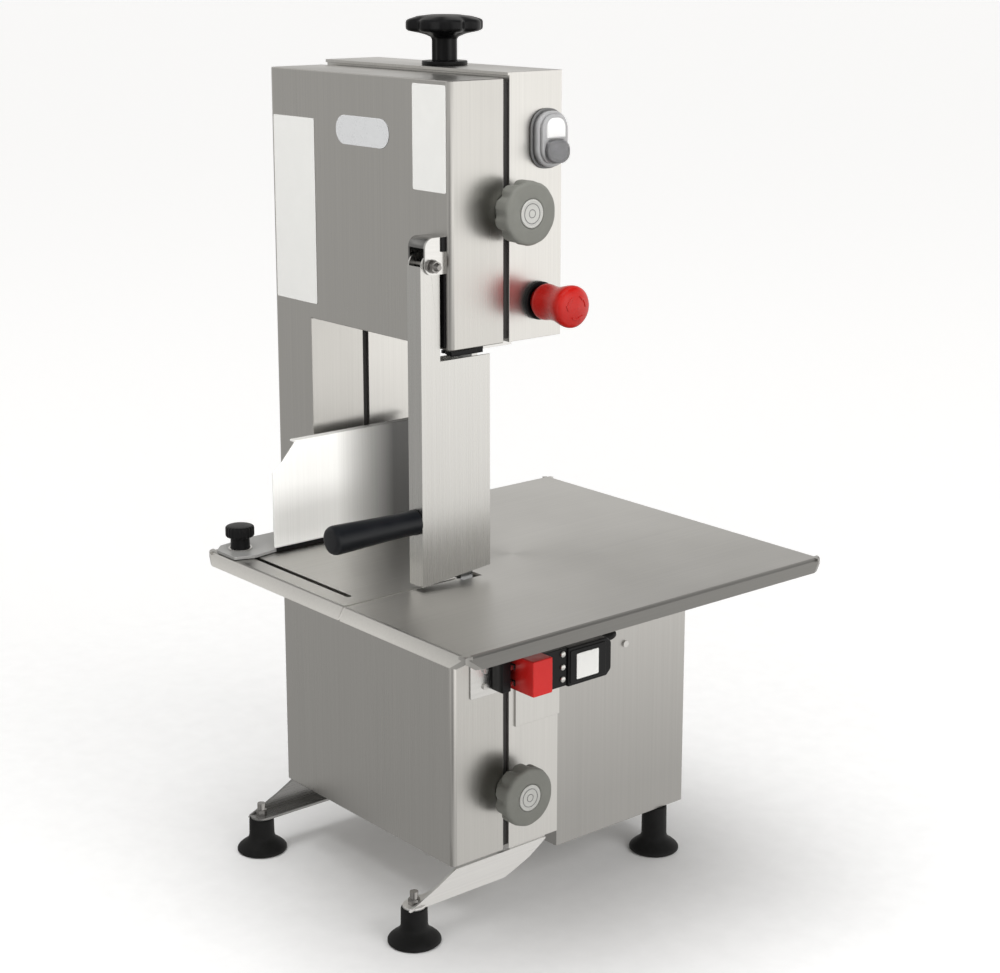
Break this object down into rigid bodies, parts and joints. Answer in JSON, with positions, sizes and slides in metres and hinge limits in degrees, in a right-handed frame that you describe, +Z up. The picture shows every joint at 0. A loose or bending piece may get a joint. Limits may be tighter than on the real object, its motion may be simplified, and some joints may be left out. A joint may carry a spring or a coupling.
{
  "type": "bone saw",
  "caption": "Counter-top bone band saw: stainless C-frame with two band wheels, hinged front door, table with sliding fence, hanging pusher arm, clamp knobs and push buttons.",
  "frame": {"origin": "centre of the whole saw's outline at the level its feet stand on", "axes": "+Z up; -Y towards the operator (the door's front face); +X to the operator's right, where the clamp knobs and buttons are"},
  "size_m": [0.453, 0.4564, 0.8525],
  "materials": {
    "stainless": "brushed sheet, fine vertical grain",
    "bright_steel": "machined, satin",
    "band_steel": "cold-rolled strip with ground teeth",
    "cast_alloy": "cast and turned",
    "motor_paint": "satin grey paint",
    "black_plastic": "moulded, fine texture",
    "black_rubber": "matt",
    "grey_plastic": "moulded, fine texture",
    "pale_plastic": "smooth",
    "red_plastic": "smooth",
    "dark_plastic": "smooth",
    "plate_film": "thin printed film"
  },
  "bodies": {
    "frame": {"rear_housing": "stainless", "seam_gasket": "black_rubber", "motor_box": "stainless", "hinge_leaves": "bright_steel", "leg_brackets": "stainless", "rubber_feet": "black_rubber", "foot_studs": "bright_steel", "table": "stainless", "table_rails": "stainless", "band": "band_steel", "motor_body": "motor_paint", "motor_flange": "motor_paint", "carriage_guides": "bright_steel", "knob_collar": "black_plastic", "band_guides": "black_plastic", "guide_brackets": "stainless", "frame_screws": "bright_steel", "stop_collar": "black_plastic", "button_gasket": "black_rubber", "button_bezel": "grey_plastic", "switch_plate": "stainless", "switch_body": "black_plastic", "switch_head": "red_plastic", "switch_lid": "pale_plastic", "switch_screws": "bright_steel", "switch_cable": "black_rubber", "cable_gland": "black_plastic"},
    "door": {"door": "stainless", "door_hinge_leaves": "bright_steel", "arm_bracket": "stainless", "pivot_bolt": "bright_steel", "switch_key": "black_plastic", "key_prongs": "bright_steel", "label_plates": "plate_film", "front_badge": "plate_film", "arm_pad": "black_rubber"},
    "arm": {"pusher_arm": "stainless", "arm_handle": "black_plastic"},
    "fence": {"fence": "stainless", "fence_nut": "bright_steel"},
    "fence_clamp": {"fence_knob": "black_plastic"},
    "drive": {"lower_wheel": "cast_alloy", "motor_shaft": "bright_steel", "lower_wheel_nut": "bright_steel"},
    "idler": {"upper_wheel": "cast_alloy", "wheel_bearings": "bright_steel"},
    "carriage": {"tension_carriage": "cast_alloy", "upper_axle": "bright_steel"},
    "tensioner": {"tension_knob": "black_plastic", "tension_screw": "bright_steel"},
    "upper_lock_stud": {"upper_stud": "bright_steel"},
    "upper_lock": {"upper_lock_knob": "grey_plastic", "upper_knob_cap": "pale_plastic"},
    "lower_lock_stud": {"lower_stud": "bright_steel"},
    "lower_lock": {"lower_lock_knob": "grey_plastic", "lower_knob_cap": "pale_plastic"},
    "stop_plunger": {"stop_stem": "dark_plastic"},
    "stop_mushroom": {"stop_head": "red_plastic"},
    "start_key": {"start_button": "pale_plastic"},
    "stop_key": {"stop_button": "dark_plastic"}
  },
  "joints": [
    {"name": "door_hinge", "type": "hinge", "parent": "frame", "child": "door", "pos_m": [-0.216, -0.04275, 0.4305], "axis": [0, 0, -1], "range_deg": [0, 110]},
    {"name": "arm_pivot", "type": "hinge", "parent": "door", "child": "arm", "pos_m": [0.04875, -0.12175, 0.6395], "axis": [-1, 0, 0], "range_deg": [0, 75]},
    {"name": "fence_slide", "type": "slide", "parent": "frame", "child": "fence", "axis": [1, 0, 0], "range_m": [-0.003, 0.14]},
    {"name": "fence_clamp_turn", "type": "hinge", "parent": "fence", "child": "fence_clamp", "pos_m": [-0.152, -0.19375, 0.3615], "axis": [0, 0, 1], "range_deg": [0, 360]},
    {"name": "drive_spin", "type": "hinge", "parent": "frame", "child": "drive", "pos_m": [-0.059, -0.07475, 0.19901], "axis": [0, 1, 0], "continuous": true},
    {"name": "carriage_slide", "type": "slide", "parent": "frame", "child": "carriage", "axis": [0, 0, 1], "range_m": [-0.008, 0]},
    {"name": "idler_spin", "type": "hinge", "parent": "carriage", "child": "idler", "pos_m": [-0.059, -0.07475, 0.6855], "axis": [0, 1, 0], "continuous": true},
    {"name": "tension_turn", "type": "hinge", "parent": "frame", "child": "tensioner", "pos_m": [-0.059, -0.01175, 0.8355], "axis": [0, 0, 1], "range_deg": [0, 1445]},
    {"name": "upper_stud_slide", "type": "slide", "parent": "frame", "child": "upper_lock_stud", "axis": [1, 0, 0], "range_m": [0, 0.003]},
    {"name": "upper_lock_turn", "type": "hinge", "parent": "upper_lock_stud", "child": "upper_lock", "pos_m": [0.088, -0.03925, 0.683], "axis": [1, 0, 0], "range_deg": [0, 722]},
    {"name": "lower_stud_slide", "type": "slide", "parent": "frame", "child": "lower_lock_stud", "axis": [1, 0, 0], "range_m": [0, 0.003]},
    {"name": "lower_lock_turn", "type": "hinge", "parent": "lower_lock_stud", "child": "lower_lock", "pos_m": [0.088, -0.03925, 0.128], "axis": [1, 0, 0], "range_deg": [0, 722]},
    {"name": "stop_push", "type": "slide", "parent": "frame", "child": "stop_plunger", "axis": [-1, 0, 0], "range_m": [0, 0.004]},
    {"name": "stop_twist", "type": "hinge", "parent": "stop_plunger", "child": "stop_mushroom", "pos_m": [0.108, -0.00475, 0.5975], "axis": [-1, 0, 0], "range_deg": [0, 45], "stiffness_Nm_per_rad": 0.03},
    {"name": "start_press", "type": "slide", "parent": "frame", "child": "start_key", "axis": [-1, 0, 0], "range_m": [0, 0.003], "stiffness_N_per_m": 800},
    {"name": "stop_press", "type": "slide", "parent": "frame", "child": "stop_key", "axis": [-1, 0, 0], "range_m": [0, 0.003], "stiffness_N_per_m": 800}
  ],
  "couplings": [
    {"joint": "idler_spin", "follows": "drive_spin", "ratio": 1},
    {"joint": "tension_turn", "follows": "carriage_slide", "rad_per_m": -3141.6},
    {"joint": "upper_lock_turn", "follows": "upper_stud_slide", "rad_per_m": 4188.8},
    {"joint": "lower_lock_turn", "follows": "lower_stud_slide", "rad_per_m": 4188.8}
  ]
}
